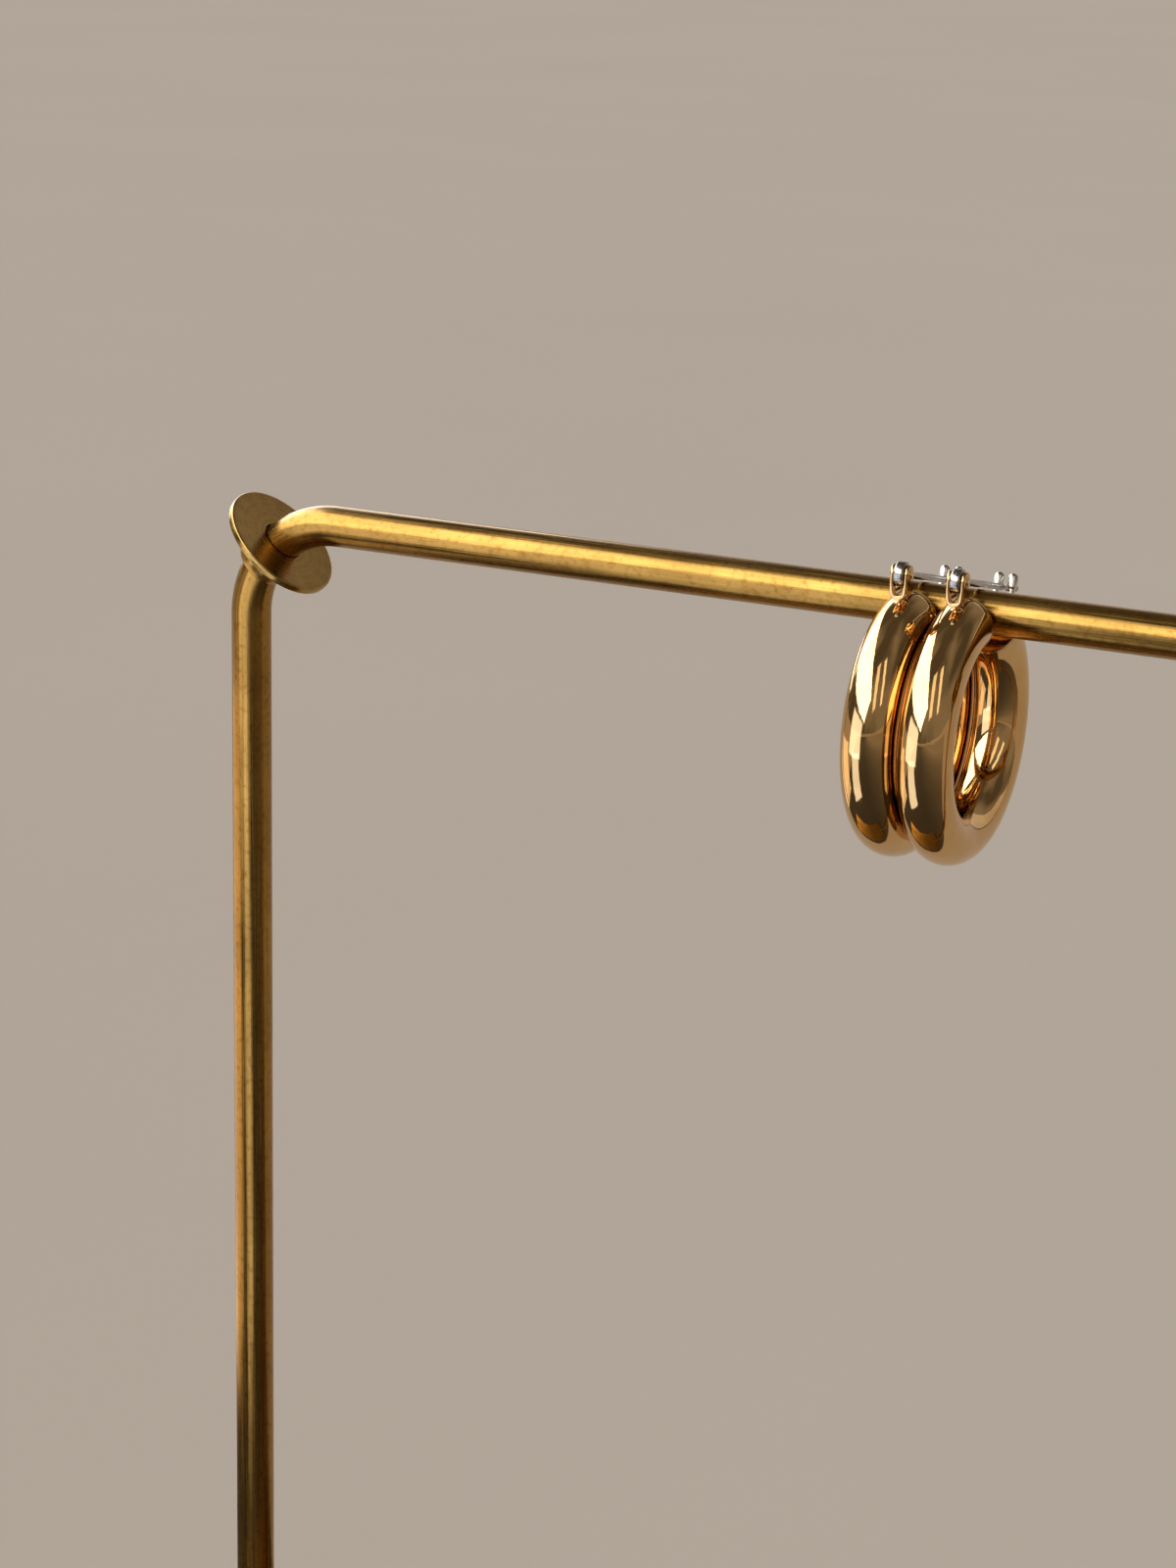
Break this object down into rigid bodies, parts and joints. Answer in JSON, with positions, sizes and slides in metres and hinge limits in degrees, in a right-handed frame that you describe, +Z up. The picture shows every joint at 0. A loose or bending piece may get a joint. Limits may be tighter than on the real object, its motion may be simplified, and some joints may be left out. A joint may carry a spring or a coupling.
{
  "type": "pair of hoop earrings on a display rack",
  "caption": "Hinged tube hoop earrings with snap-shut ear posts, hanging from the bar of a low round-rod display rack on a flat base.",
  "frame": {"origin": "centre of the underside of the rack's base plate, on the surface it stands on", "axes": "+Z up; +X along the rack's bar, towards the end where the pair hangs; +Y towards the back"},
  "size_m": [0.15, 0.056, 0.1709],
  "materials": {
    "gold": "mirror-polished warm gold",
    "white_metal": "polished white metal",
    "rack_brass": "satin aged brass"
  },
  "bodies": {
    "rack": {"rack_rod": "rack_brass", "base_plate": "rack_brass", "stop_disc_left": "rack_brass", "stop_disc_right": "rack_brass", "collar_left": "rack_brass", "collar_right": "rack_brass", "hoop_left": "gold", "hoop_right": "gold", "hinge_pin_left": "gold", "hinge_pin_right": "gold", "catch_left": "white_metal", "catch_right": "white_metal"},
    "post_left": {"ear_post_left": "white_metal"},
    "post_right": {"ear_post_right": "white_metal"}
  },
  "joints": [
    {"name": "post_hinge_left", "type": "hinge", "parent": "rack", "child": "post_left", "pos_m": [0.02235, -0.0064, 0.16953], "axis": [1, 0, 0], "range_deg": [0, 100]},
    {"name": "post_hinge_right", "type": "hinge", "parent": "rack", "child": "post_right", "pos_m": [0.0287, -0.0064, 0.16953], "axis": [1, 0, 0], "range_deg": [0, 100]}
  ]
}
